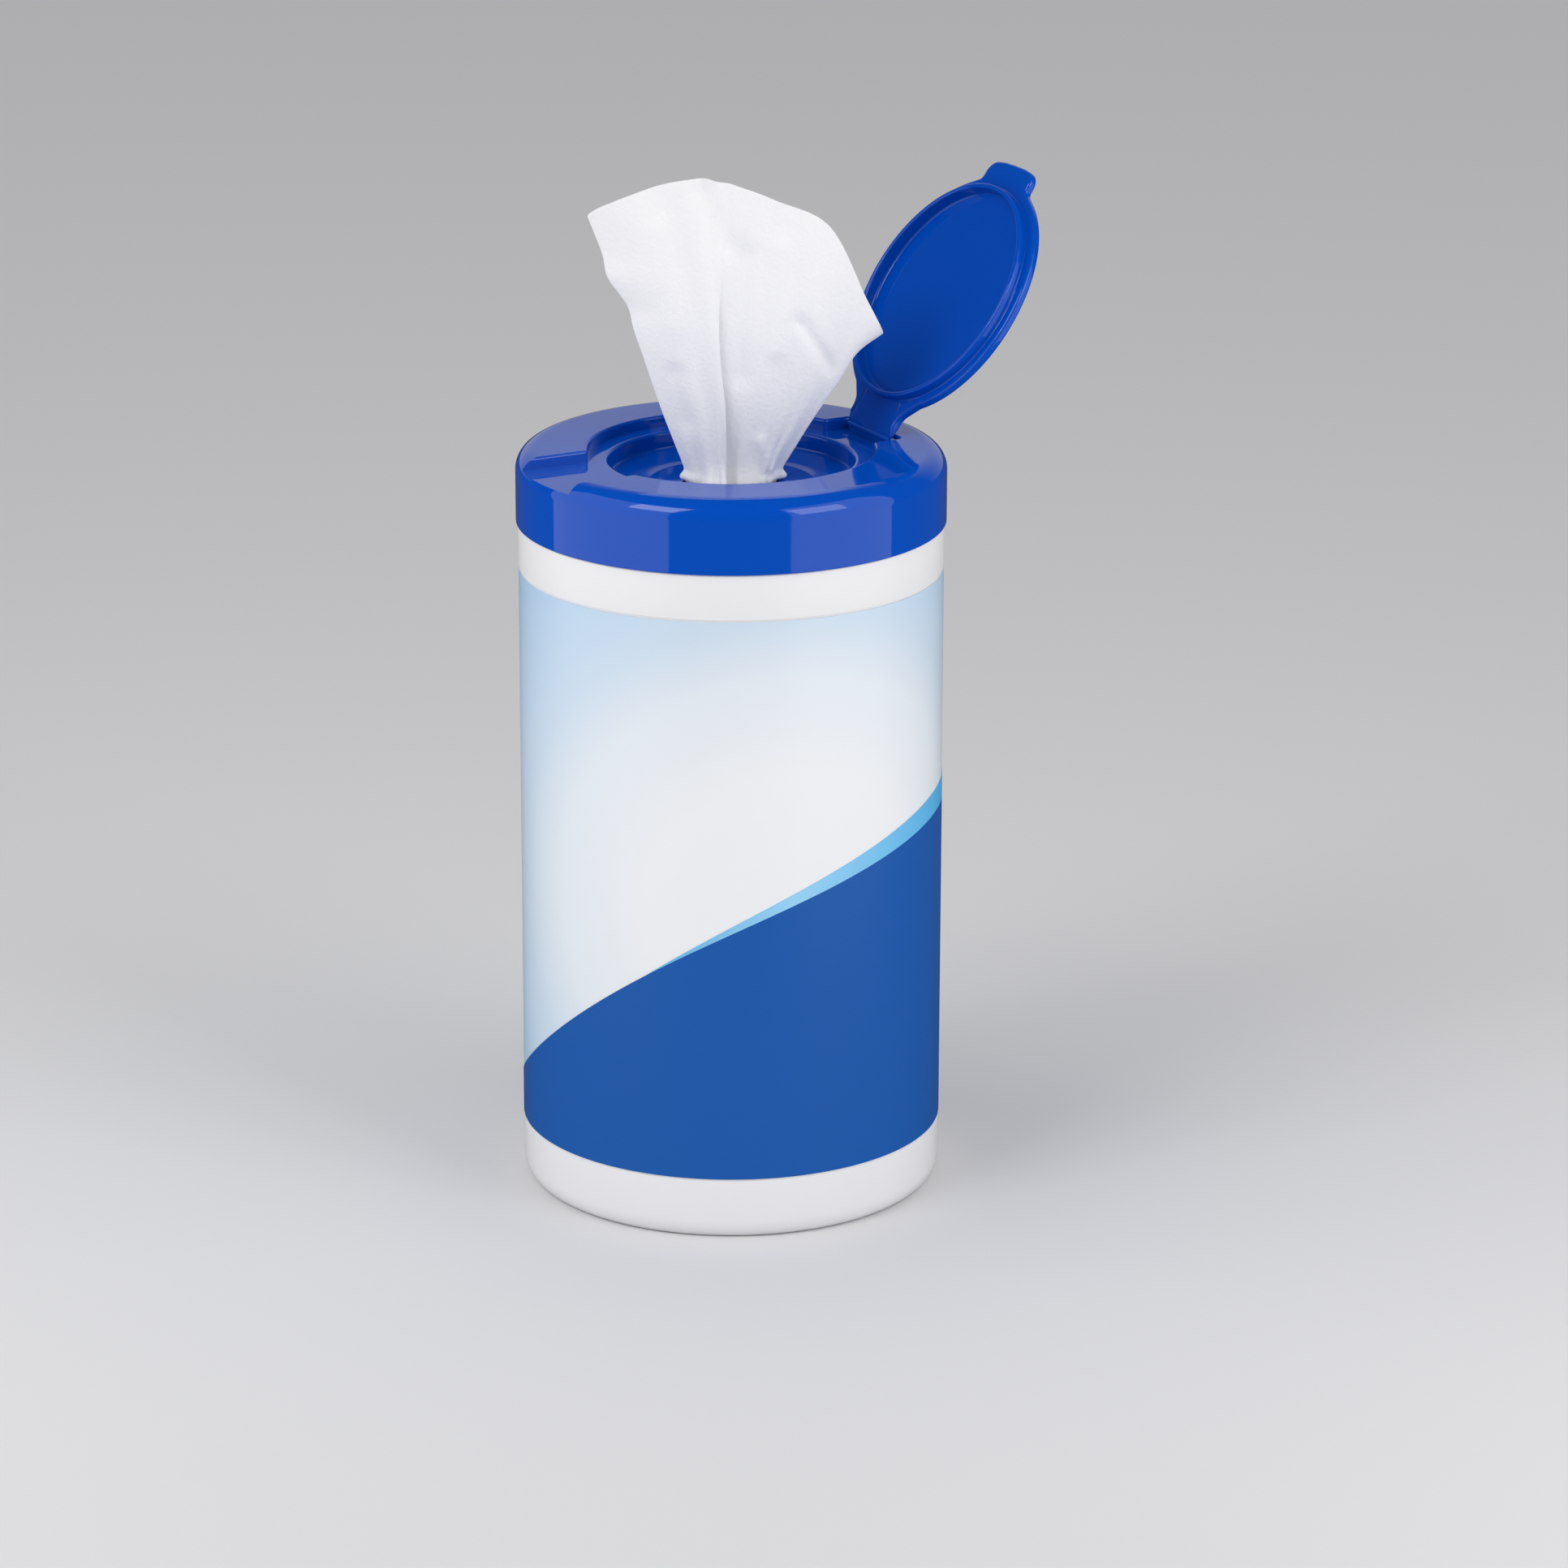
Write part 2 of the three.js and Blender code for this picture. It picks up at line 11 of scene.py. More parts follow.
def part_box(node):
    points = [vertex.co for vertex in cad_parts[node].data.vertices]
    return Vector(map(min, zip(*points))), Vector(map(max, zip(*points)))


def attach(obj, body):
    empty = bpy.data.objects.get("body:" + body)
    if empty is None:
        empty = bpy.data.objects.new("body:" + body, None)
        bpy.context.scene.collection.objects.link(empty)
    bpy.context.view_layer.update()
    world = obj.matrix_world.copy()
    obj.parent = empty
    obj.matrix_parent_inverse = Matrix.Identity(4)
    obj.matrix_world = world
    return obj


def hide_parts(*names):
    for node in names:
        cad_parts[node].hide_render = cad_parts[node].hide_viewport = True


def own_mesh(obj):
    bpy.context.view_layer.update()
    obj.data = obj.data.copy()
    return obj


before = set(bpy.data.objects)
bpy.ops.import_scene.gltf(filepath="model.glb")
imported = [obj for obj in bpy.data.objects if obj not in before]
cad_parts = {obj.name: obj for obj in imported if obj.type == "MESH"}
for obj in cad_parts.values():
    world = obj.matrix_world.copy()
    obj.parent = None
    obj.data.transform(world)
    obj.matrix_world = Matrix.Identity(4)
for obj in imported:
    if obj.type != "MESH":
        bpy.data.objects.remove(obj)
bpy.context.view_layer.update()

MM = 0.001
SMOOTH_ANGLE = math.radians(32)


def high(node):
    """The highest x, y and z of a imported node, in millimetres."""
    return [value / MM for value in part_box(node)[1]]


def low(node):
    """The lowest x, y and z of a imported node, in millimetres."""
    return [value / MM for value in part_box(node)[0]]


# Sizes of the bottle and its label
body_radius = high("canister_body")[0]
body_wall = 1.3
floor_thickness = 1.4
heel_reach = 3.0
heel_height = 5.0
base_ring = 6.0
shoulder_drop = 2.0
neck_radius = 50.0
neck_wall = 1.2
neck_top = high("canister_body")[2]
label_low = low("label")[2]
label_high = high("label")[2]
label_thickness = 0.2
panel_depth = 0.25
panel_margin = 0.5

# The bead round the neck that the cap presses over, as (rise, height, corner radius) about its
# middle, and that middle's height above the seat
neck_bead = [(0, -0.9, 0.2), (0.5, -0.3, 0.25), (0.5, 0.3, 0.25), (0, 0.9, 0.2)]
neck_bead_height = 6.5

# The printed wave, as heights above the label's lower edge, and the light stripe along it
art_turn = math.radians(28)
wave_mean = 46.9
wave_rise = 39.4
wave_lead = math.radians(22.5)
wave_ripple = 5.8
wave_ripple_lead = math.radians(169)
wave_lowest = 0.6
stripe_start = math.radians(-24)
stripe_span = math.radians(276)
stripe_width = 6.5
stripe_tip = 0.01
stripe_pale_start = -15
ink_gap = 0.02
ink_thickness = 0.1
label_steps = 720
stripe_steps = 560

# The label's white middle: its turn from the front in degrees, its height and the fade's reach
fade_turn = 16
fade_centre = 84.0
fade_reach = 112.0

# Sizes of the cap
cap_radius = high("cap")[0]
cap_wall = 1.4
seat = low("cap")[2]
deck = high("cap")[2]
shoulder_round = 5.1
recess_radius = 35.0
recess_depth = 2.8
ledge = deck - recess_depth
mouth_radius = recess_radius - 3.8
well_radius = 30.0
well_round = 0.9
well_foot = ledge - 4.4
well_foot_wall = 0.7
dish_radius = 20.0
plate = well_foot - 1.5
hole_radius = 11.5
hole_round = 0.6
notch_half_width = 12.6
pocket_half_width = 12.3
seat_corner = 1.2
edge_round = 0.75
seal_gap = 0.3
seal_wall = 1.3
seal_depth = 3.6

# The bead inside the skirt, as (rise into the cap, height above the seat)
cap_bead = [(0, 4.0), (0.4, 3.6), (0.4, 2.6), (0, 2.2)]

# The tool that cuts the lid's seat: how far under its floor the turned ledge lies, and how far it
# stands over the deck and out past the skirt
cut_below = 0.02
cut_beyond = 4.0

# Sizes of the flip lid, in its own frame: the closed lid lies along -X from the hinge
hinge_x = recess_radius + 3.35
hinge_z = deck - 0.85
hinge_gap = 0.5
hinge_half_thickness = 0.25
hinge_taper = 2.6
hinge_bead_radius = 0.55
pocket_end = hinge_x + 2.3
lid_angle = math.radians(124)
lid_radius = 32.0
lid_top = 0.7
lid_under = -1.5
lid_round = 0.7
lid_panel = -0.5
plug_radius = well_radius - 0.6
plug_wall = 1.3
plug_depth = 2.4
neck_half = 10.6
neck_flare = 15.0
tab_half = 10.3
tab_flare = 14.5
tab_reach = 4.3
tab_root = 0.955

# Sizes of the roll and of the sheet that is pulled from it
roll_radius = high("wipe_roll")[0]
roll_top = high("wipe_roll")[2]
roll_shoulder = 1.2
core_radius = 14.0
roll_turns = 44
sheet_thickness = 0.45
tail_depth = 74.0
tail_turn = math.radians(70)
tail_gather = 0.45
throat_half_width = 11
throat_fill = 0.75
lip_spread = 0.19
hole_clearance = 0.7


# Materials


def linear(hex_colour):
    """An sRGB hex colour as linear RGBA."""
    channels = [int(hex_colour[i : i + 2], 16) / 255 for i in (1, 3, 5)]
    return [c / 12.92 if c <= 0.04045 else ((c + 0.055) / 1.055) ** 2.4 for c in channels] + [1]


def add_node(tree, kind, inputs=None, **settings):
    """Adds a node with its settings. An input that is a socket is linked, and any other is set."""
    added = tree.nodes.new(kind)
    for name, value in settings.items():
        setattr(added, name, value)
    for key, value in (inputs or {}).items():
        if isinstance(value, bpy.types.NodeSocket):
            tree.links.new(value, added.inputs[key])
        else:
            added.inputs[key].default_value = value
    return added


def new_material(name, colour, roughness, ior):
    """A material with one Principled shader, and its node tree."""
    material = bpy.data.materials.new(name)
    material.use_nodes = True
    tree = material.node_tree
    tree.nodes.clear()
    shader = add_node(tree, "ShaderNodeBsdfPrincipled", {"Roughness": roughness, "IOR": ior})
    if colour:
        shader.inputs["Base Color"].default_value = linear(colour)
    add_node(tree, "ShaderNodeOutputMaterial", {"Surface": shader.outputs[0]})
    return material, tree, shader


def colour_ramp(tree, factor, stops):
    """A colour ramp over stops of (position, hex colour)."""
    ramp = add_node(tree, "ShaderNodeValToRGB", {"Fac": factor})
    elements = ramp.color_ramp.elements
    while len(elements) < len(stops):
        elements.new(1)
    for element, (position, colour) in zip(elements, stops):
        element.position = position
        element.color = linear(colour)
    return ramp.outputs["Color"]


def surface_grain(tree, shader, size, height, detail=2.0):
    """A fine uneven surface, with lumps of about size millimetres that stand height proud."""
    place = add_node(tree, "ShaderNodeTexCoord").outputs["Object"]
    noise = add_node(
        tree, "ShaderNodeTexNoise", {"Vector": place, "Scale": 1 / (size * MM), "Detail": detail}
    )
    bump = add_node(
        tree,
        "ShaderNodeBump",
        {"Height": noise.outputs[0], "Strength": 1.0, "Distance": height * MM},
    )
    tree.links.new(bump.outputs[0], shader.inputs["Normal"])


def white_hdpe():
    """Blow-moulded white polyethylene: satin, faintly uneven, with broad soft highlights."""
    material, tree, shader = new_material("white_hdpe", "#EAEAEC", roughness=0.36, ior=1.54)
    surface_grain(tree, shader, size=9, height=0.02)
    return material


def printed_film(name, colour=None):
    """Ink under a clear polypropylene film: a smooth semi-gloss skin over its colour."""
    return new_material(name, colour, roughness=0.3, ior=1.49)


def label_film():
    """The label's unprinted field: white in front, fading to pale blue at its sides and top."""
    material, tree, shader = printed_film("label_film")
    turn = math.radians(fade_turn) - art_turn
    front = [
        body_radius * MM * math.sin(turn),
        -body_radius * MM * math.cos(turn),
        fade_centre * MM,
    ]
    place = add_node(tree, "ShaderNodeTexCoord").outputs["Object"]
    away = add_node(
        tree, "ShaderNodeVectorMath", {0: place, 1: front}, operation="DISTANCE"
    ).outputs["Value"]
    share = add_node(
        tree, "ShaderNodeMapRange", {"Value": away, "From Max": fade_reach * MM}
    ).outputs["Result"]
    colour = colour_ramp(
        tree, share, [(0.3, "#EEEFF1"), (0.52, "#E2E9F0"), (0.66, "#CBDCEC"), (1.0, "#A6C9EA")]
    )
    tree.links.new(colour, shader.inputs["Base Color"])
    return material


def stripe_film():
    """The light stripe's ink: sky blue at its left tip, palest in the middle, deeper on the
    right."""
    material, tree, shader = printed_film("stripe_film")
    rightwards = [math.cos(art_turn), -math.sin(art_turn), 0]
    place = add_node(tree, "ShaderNodeTexCoord").outputs["Object"]
    across = add_node(
        tree, "ShaderNodeVectorMath", {0: place, 1: rightwards}, operation="DOT_PRODUCT"
    ).outputs["Value"]
    share = add_node(
        tree,
        "ShaderNodeMapRange",
        {"Value": across, "From Min": stripe_pale_start * MM, "From Max": body_radius * MM},
    ).outputs["Result"]
    colour = colour_ramp(tree, share, [(0.0, "#6BB9E8"), (0.45, "#97D2F4"), (1.0, "#52B4EC")])
    tree.links.new(colour, shader.inputs["Base Color"])
    return material


def blue_polypropylene():
    """Polished injection-moulded polypropylene: deep blue, with sharp reflections on flat faces."""
    material, tree, shader = new_material(
        "blue_polypropylene", "#004AB6", roughness=0.06, ior=1.49
    )
    surface_grain(tree, shader, size=14, height=0.006)
    return material


def nonwoven(name, colour):
    """Spunlace nonwoven: matt white cloth of tangled fibres with a faint felted grain. The fibres
    are 0.02 mm thick, so the grain is drawn as tufts of about a millimetre."""
    material, tree, shader = new_material(name, colour, roughness=0.95, ior=1.5)
    shader.inputs["Specular IOR Level"].default_value = 0.2
    shader.inputs["Sheen Weight"].default_value = 0.15
    shader.inputs["Sheen Roughness"].default_value = 0.6
    surface_grain(tree, shader, size=1.1, height=0.17, detail=6.0)
    return material


def stage_floor():
    """A pale matt floor. Mirror reflections show it darker, so that glossy sides stay deep."""
    material, tree, shader = new_material("stage_floor", None, roughness=0.9, ior=1.45)
    mirrored = add_node(tree, "ShaderNodeLightPath").outputs["Is Glossy Ray"]
    colour = add_node(
        tree,
        "ShaderNodeMix",
        {0: mirrored, 6: linear("#DADADC"), 7: linear("#505052")},
        data_type="RGBA",
    )
    tree.links.new(colour.outputs[2], shader.inputs["Base Color"])
    shader.inputs["Specular IOR Level"].default_value = 0.1
    return material


# Outlines


def rounded(corners, steps=7, closed=False):
    """An outline in a plane from (x, y, radius) corners, each turned into an arc."""
    points = []
    count = len(corners)
    for i, (x, y, radius) in enumerate(corners):
        corner = np.array([x, y], float)
        if radius == 0 or (not closed and i in (0, count - 1)):
            points.append(corner)
            continue
        before = np.array(corners[i - 1][:2], float) - corner
        after = np.array(corners[(i + 1) % count][:2], float) - corner
        before /= np.linalg.norm(before)
        after /= np.linalg.norm(after)
        half = math.acos(max(-1.0, min(1.0, float(before @ after)))) / 2
        middle = before + after
        middle /= np.linalg.norm(middle)
        centre = corner + middle * radius / math.sin(half)
        reach = radius / math.tan(half)
        first = corner + before * reach - centre
        last = corner + after * reach - centre
        start = math.atan2(first[1], first[0])
        turn = (math.atan2(last[1], last[0]) - start + math.pi) % (2 * math.pi) - math.pi
        for k in range(steps + 1):
            angle = start + turn * k / steps
            points.append(centre + radius * np.array([math.cos(angle), math.sin(angle)]))
    return np.array(points)


def arc(x, y, rx, ry, start, end, steps=12):
    """Points of an elliptical arc between two angles in degrees, as (x, y, 0) corners."""
    angles = np.radians(np.linspace(start, end, steps + 1))
    return [(x + rx * math.cos(a), y + ry * math.sin(a), 0) for a in angles]


def both_sides(half, middle=()):
    """The corners of one side, any on the middle line, and those of the other side, mirrored."""
    return [*half, *middle, *[(x, -y, r) for x, y, r in reversed(half)]]


def turn_to(half_width, radius):
    """The angle in degrees at which a circle is half_width off its middle line."""
    return math.degrees(math.asin(half_width / radius))


def evenly(outline, spacing):
    """A closed outline with points added, so that none of its sides is longer than spacing."""
    points = []
    for here, there in zip(outline, np.roll(outline, -1, axis=0)):
        parts = max(1, math.ceil(np.linalg.norm(there - here) / spacing))
        points += [here + (there - here) * k / parts for k in range(parts)]
    return np.array(points)


def grown(outline, distance):
    """A closed counter-clockwise outline moved outwards by distance."""
    along = np.roll(outline, -1, axis=0) - np.roll(outline, 1, axis=0)
    outward = np.column_stack([along[:, 1], -along[:, 0]])
    outward /= np.linalg.norm(outward, axis=1)[:, None]
    return outline + outward * distance


def level(outline, z):
    """A flat ring of points in space from an outline at a height."""
    return np.column_stack([outline, np.full(len(outline), float(z))])


def apex(z):
    """A ring of one point on the axis, which closes a skin."""
    return np.array([[0.0, 0.0, z]])


def circle_like(outline, radius):
    """Points of a circle round the origin in the same directions as an outline's points."""
    return outline / np.linalg.norm(outline, axis=1)[:, None] * radius


# Meshes


def piece(name, points, faces, material, body=None):
    """A smooth-shaded mesh object from points in millimetres."""
    mesh = bpy.data.meshes.new(name)
    mesh.from_pydata((np.asarray(points) * MM).tolist(), [], faces)
    mesh.validate()
    mesh.shade_smooth()
    mesh.set_sharp_from_angle(angle=SMOOTH_ANGLE)
    mesh.materials.append(material)
    made = bpy.data.objects.new(name, mesh)
    bpy.context.scene.collection.objects.link(made)
    if body:
        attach(made, body)
    return made


def lofted(rings, closed=False):
    """Points and faces of a skin through rings of equal count. A ring of one point is a tip, and
    a closed skin joins its last ring to its first."""
    points = np.vstack(rings)
    starts = np.cumsum([0] + [len(ring) for ring in rings])
    faces = []
    pairs = list(zip(range(len(rings)), range(1, len(rings))))
    if closed:
        pairs.append((len(rings) - 1, 0))
    for a, b in pairs:
        around = max(len(rings[a]), len(rings[b]))
        for k in range(around):
            n = (k + 1) % around
            if len(rings[a]) == 1:
                faces.append((starts[a], starts[b] + n, starts[b] + k))
            elif len(rings[b]) == 1:
                faces.append((starts[a] + k, starts[a] + n, starts[b]))
            else:
                faces.append((starts[a] + k, starts[a] + n, starts[b] + n, starts[b] + k))
    return points, [tuple(int(i) for i in face) for face in faces]


def turned(profile, around=240):
    """Rings of a solid of revolution from a profile of (radius, height) points."""
    angles = np.linspace(0, 2 * math.pi, around, endpoint=False)
    rings = []
    for r, z in profile:
        if abs(r) < 1e-6:
            rings.append(apex(z))
        else:
            circle = np.column_stack([r * np.cos(angles), r * np.sin(angles)])
            rings.append(level(circle, z))
    return rings


def cut(solid, cutter):
    """Cuts one object out of another and deletes the cutter."""
    modifier = solid.modifiers.new("cut", "BOOLEAN")
    modifier.object = cutter
    modifier.operation = "DIFFERENCE"
    modifier.solver = "EXACT"
    bpy.context.view_layer.update()
    seen = solid.evaluated_get(bpy.context.evaluated_depsgraph_get())
    mesh = bpy.data.meshes.new_from_object(seen)
    solid.modifiers.clear()
    solid.data = mesh
    bpy.data.objects.remove(cutter)
    mesh.shade_smooth()
    mesh.set_sharp_from_angle(angle=SMOOTH_ANGLE)


# The bottle and its label


def bottle(material):
    """The hollow bottle: rounded heel, sunk label panel, seat, and neck with the cap's bead. Its
    corners are (radius, height, corner radius)."""
    inner = body_radius - body_wall
    panel = body_radius - panel_depth
    neck_inner = neck_radius - neck_wall
    bead = seat + neck_bead_height
    under_seat = seat - floor_thickness
    heel = body_radius - heel_reach
    corners = [
        (0, 0, 0),
        (heel - base_ring, 0, 0),
        *arc(heel, heel_height, heel_reach, heel_height, -90, 0),
        (body_radius, label_low - panel_margin, 0.12),
        (panel, label_low - panel_margin, 0.1),
        (panel, label_high + panel_margin, 0.1),
        (body_radius, label_high + panel_margin, 0.12),
        (body_radius, seat, 0.5),
        (neck_radius, seat, 0.4),
        *[(neck_radius + rise, bead + height, corner) for rise, height, corner in neck_bead],
        (neck_radius, neck_top, 0.35),
        (neck_inner, neck_top, 0.35),
        (neck_inner, under_seat, 1.0),
        (inner, under_seat - shoulder_drop, 1.0),
        (inner, floor_thickness, 2.0),
        (0, floor_thickness, 0),
    ]
    made = piece("bottle", *lofted(turned(rounded(corners))), material, "canister")
    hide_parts("canister_body")


def wave_height(angle):
    """Height of the printed wave at an angle from the front of the label."""
    main = wave_rise * np.sin(angle + wave_lead)
    ripple = wave_ripple * np.sin(2 * angle + wave_ripple_lead)
    return label_low + np.maximum(wave_lowest, wave_mean + main + ripple)


def stripe_height(angle):
    """Height of the light stripe at an angle: it tapers to a point at both ends."""
    return stripe_width * np.sin(math.pi * (angle - stripe_start) / stripe_span)


def film(name, angles, heights, radii, material, closed=True):
    """A thin skin on the bottle between two heights, which may change with the angle, and between
    two radii."""
    turn = angles - art_turn
    way = np.column_stack([np.sin(turn), -np.cos(turn)])
    lower, upper = (np.broadcast_to(height, angles.shape) for height in heights)
    inside, outside = radii
    edges = [(inside, lower), (outside, lower), (outside, upper), (inside, upper)]
    points = np.vstack([np.column_stack([way * radius, height]) for radius, height in edges])
    count = len(angles)
    faces = []
    for k in range(count if closed else count - 1):
        n = (k + 1) % count
        for side in range(4):
            a, b = side * count, (side + 1) % 4 * count
            faces.append((a + k, a + n, b + n, b + k))
    if not closed:
        faces.append(tuple(side * count for side in range(4)))
        faces.append(tuple(side * count + count - 1 for side in (3, 2, 1, 0)))
    return piece(name, points, faces, material, "canister")


def wrapped_label(field, dark, light):
    """The film round the panel, with its dark wave and the light stripe along the wave."""
    around = np.linspace(-math.pi, math.pi, label_steps, endpoint=False)
    film_radii = (body_radius - label_thickness, body_radius)
    made = film("label_wrap", around, (label_low, label_high), film_radii, field)
    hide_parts("label")
    ink = body_radius + ink_gap
    ink_radii = (ink, ink + ink_thickness)
    made = film("dark_wave", around, (label_low, wave_height(around)), ink_radii, dark)
    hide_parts("label_dark_print")
    span = np.linspace(
        stripe_start + stripe_tip, stripe_start + stripe_span - stripe_tip, stripe_steps
    )
    foot = wave_height(span) + ink_gap / 4
    stripe = (foot, foot + stripe_height(span))
    made = film("light_stripe", span, stripe, ink_radii, light, closed=False)
    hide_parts("label_light_print")


# The cap


def lid_seat_outline():
    """Top view of what is sunk into the deck: the round recess, the finger notch that runs out
    through the skirt on the tab's side, and the pocket for the lid's neck."""
    pocket_turn = turn_to(pocket_half_width, recess_radius)
    notch_turn = turn_to(notch_half_width, recess_radius)
    clear = 3.5
    pocket_corner = recess_radius * math.cos(math.radians(pocket_turn))
    notch_corner = -recess_radius * math.cos(math.radians(notch_turn))
    start, end = pocket_turn + clear, 180 - notch_turn - clear
    half = [
        (pocket_end, pocket_half_width, seat_corner),
        (pocket_corner, pocket_half_width, seat_corner),
        *arc(0, 0, recess_radius, recess_radius, start, end, steps=60),
        (notch_corner, notch_half_width, seat_corner),
        (-cap_radius - cut_beyond, notch_half_width, 0),
    ]
    return evenly(rounded(both_sides(half), closed=True), spacing=1.6)


def lid_seat_cutter(material):
    """The solid that cuts the lid's seat. It flares at the deck, so that the seat's upper edge
    ends in a round."""
    outline = lid_seat_outline()
    rings = [apex(ledge), level(outline, ledge)]
    steps = 8
    for step in range(steps + 1):
        angle = math.radians(90 * step / steps)
        flare = edge_round * (1 - math.cos(angle))
        rings.append(level(grown(outline, flare), deck - edge_round + edge_round * math.sin(angle)))
    rings += [level(grown(outline, edge_round), deck + cut_beyond), apex(deck + cut_beyond)]
    return piece("lid_seat_cutter", *lofted(rings), material)


def cap_shell(material):
    """The cap: skirt, rounded shoulder, deck, well, dished plate and hole, all turned, with the
    lid's seat cut into the deck. Its corners are (radius, height, corner radius)."""
    knee = deck - shoulder_round
    inner = cap_radius - cap_wall
    well_outer = well_radius + cap_wall
    under_deck = ledge - cap_wall
    under_plate = plate - cap_wall
    seal_outer = neck_radius - neck_wall - seal_gap
    seal_inner = seal_outer - seal_wall
    corners = [
        (cap_radius, seat, 0.25),
        *arc(cap_radius - shoulder_round, knee, shoulder_round, shoulder_round, 0, 90, steps=16),
        (mouth_radius, deck, 0),
        (mouth_radius, ledge - cut_below, 0),
        (well_radius, ledge - cut_below, well_round),
        (well_radius, well_foot, 0.8),
        (dish_radius, plate, 6),
        (hole_radius, plate, hole_round),
        (hole_radius, under_plate, 0.3),
        (dish_radius, under_plate, 4),
        (well_outer, well_foot - well_foot_wall, 0.8),
        (well_outer, under_deck, 0.5),
        (seal_inner, under_deck, 0.4),
        (seal_inner, under_deck - seal_depth, 0.3),
        (seal_outer, under_deck - seal_depth, 0.3),
        (seal_outer, under_deck, 0.3),
        (inner, under_deck, 1.0),
        *[(inner - rise, seat + height, 0.2) for rise, height in cap_bead],
        (inner, seat, 0.25),
    ]
    skin = lofted(turned(rounded(corners, closed=True), around=300), closed=True)
    shell = piece("cap_shell", *skin, material)
    cut(shell, lid_seat_cutter(material))
    shell.modifiers.new("even_normals", "WEIGHTED_NORMAL").keep_sharp = True
    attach(shell, "cap")
    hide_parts("cap")


def bar(name, section, half_length, material):
    """A straight bar along Y from a closed section of (x, z) points, with eased ends."""
    ease = 0.2
    stations = [
        (ease, -half_length),
        (0, ease - half_length),
        (0, half_length - ease),
        (ease, half_length),
    ]
    rings = []
    for inset, y in stations:
        shrunk = grown(section, -inset)
        rings.append(np.column_stack([shrunk[:, 0], np.full(len(shrunk), y), shrunk[:, 1]]))
    middle = section.mean(axis=0)
    ends = [np.array([[middle[0], y, middle[1]]]) for y in (-half_length, half_length)]
    points, faces = lofted([ends[0], *rings, ends[1]])
    return piece(name, points, [face[::-1] for face in faces], material)


def hinge_land(material):
    """The step on the cap that the lid hangs from, and the bead of the living hinge along it."""
    front, back = hinge_x + 0.1, pocket_end + 0.6
    foot, top = ledge - 0.5, hinge_z + 0.1
    corners = [(front, foot, 0), (back, foot, 0), (back, top, 0), (front, top, 0.3)]
    made = bar("hinge_land", rounded(corners, closed=True), neck_half, material)
    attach(made, "cap")
    bead = arc(hinge_x, hinge_z, hinge_bead_radius, hinge_bead_radius, 0, 345, steps=23)
    made = bar("hinge_bead", rounded(bead, closed=True), neck_half - 0.4, material)
    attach(made, "cap")


# The flip lid


def lid_outline():
    """Top view of the lid round its disc's centre: the neck to the hinge, and the thumb tab."""
    neck_end = hinge_x - hinge_gap
    neck_turn = turn_to(neck_flare, lid_radius)
    tab_turn = turn_to(tab_flare, lid_radius)
    neck_rim = lid_radius * math.cos(math.radians(neck_turn))
    tab_rim = -lid_radius * math.cos(math.radians(tab_turn))
    clear = 4.0
    end = -lid_radius - tab_reach
    half = [
        (neck_end, neck_half, 0.5),
        ((neck_end + neck_rim) / 2 - 0.6, neck_half, 4.0),
        (neck_rim, neck_flare, 3.0),
        *arc(0, 0, lid_radius, lid_radius, neck_turn + clear, 180 - tab_turn - clear, steps=60),
        (tab_rim, tab_flare, 1.5),
        (-lid_radius * tab_root, tab_half, 1.6),
        (end + 0.8, tab_half, 3.6),
        (end + 0.1, tab_half * 0.45, 6),
    ]
    return evenly(rounded(both_sides(half, [(end, 0, 0)]), closed=True), spacing=1.2)


def flip_lid(material):
    """The lid, open: a disc with a round edge, neck and tab, and under it the plug ring that
    enters the well, round a thinner panel."""
    outline = lid_outline()
    plug_inner = plug_radius - plug_wall
    crest = lid_under - plug_depth
    rings = [apex(lid_top), level(circle_like(outline, plug_inner), lid_top)]
    for face, side, turns in ((lid_top, -1, (90, 0)), (lid_under, 1, (0, 90))):
        for angle in np.radians(np.linspace(*turns, 7)):
            inset = lid_round * (1 - math.cos(angle))
            height = face + side * (lid_round * (1 - math.sin(angle)))
            rings.append(level(grown(outline, -inset), height))
    plug_profile = [
        (plug_radius + 0.9, lid_under, 0),
        (plug_radius, lid_under, 0.45),
        (plug_radius, crest, 0.55),
        (plug_inner, crest, 0.55),
        (plug_inner, lid_panel, 0.7),
        (plug_inner - 4, lid_panel, 0),
        (10, lid_panel, 0),
    ]
    rings += [level(circle_like(outline, radius), z) for radius, z in rounded(plug_profile)]
    rings.append(apex(lid_panel))
    points, faces = lofted(rings)
    points[:, 0] -= hinge_x
    # The neck thins to the living hinge.
    from_hinge = np.clip((-points[:, 0] - hinge_gap) / hinge_taper, 0, 1)
    thin = np.clip(points[:, 2], -hinge_half_thickness, hinge_half_thickness)
    points[:, 2] = thin + (points[:, 2] - thin) * from_hinge
    made = piece("lid", points, [face[::-1] for face in faces], material)
    made.matrix_world = Matrix.Translation(Vector((hinge_x, 0, hinge_z)) * MM) @ Matrix.Rotation(
        lid_angle, 4, "Y"
    )
    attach(made, "lid")
    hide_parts("flip_lid")


# The roll and the pulled wipe


